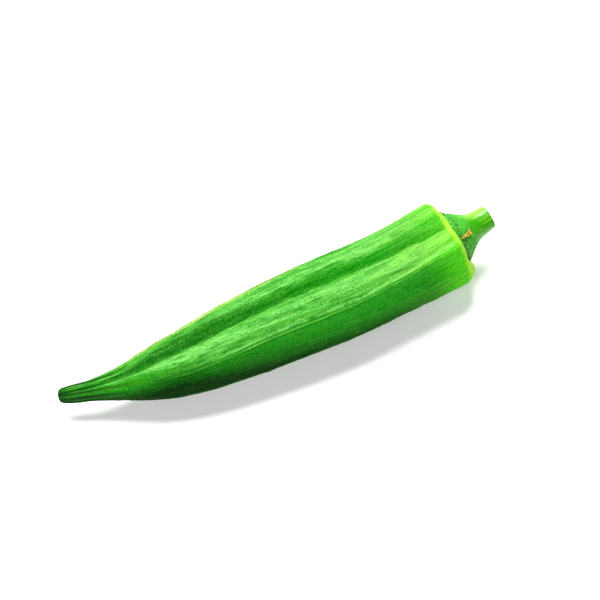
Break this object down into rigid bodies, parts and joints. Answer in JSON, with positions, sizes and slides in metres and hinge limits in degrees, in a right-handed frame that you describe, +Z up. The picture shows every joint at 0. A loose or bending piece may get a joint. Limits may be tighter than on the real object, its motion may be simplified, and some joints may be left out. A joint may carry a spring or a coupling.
{
  "type": "okra pod",
  "caption": "Ridged tapering seed pod with a cut stem and a withered bract at its shoulder, lying on its side.",
  "frame": {"origin": "middle of the bottom of the whole object's box, on the surface that the pod lies on", "axes": "+X from the tip to the cut stem, +Z up from the surface, +Y towards the side that the tip and the stem bend to"},
  "size_m": [0.1078, 0.0228, 0.0198],
  "materials": {
    "pod_skin": "satin",
    "stem_skin": "satin",
    "dried_bract": "matte"
  },
  "bodies": {
    "root": {"pod": "pod_skin", "stem": "stem_skin", "dried_bract": "dried_bract"}
  },
  "joints": []
}
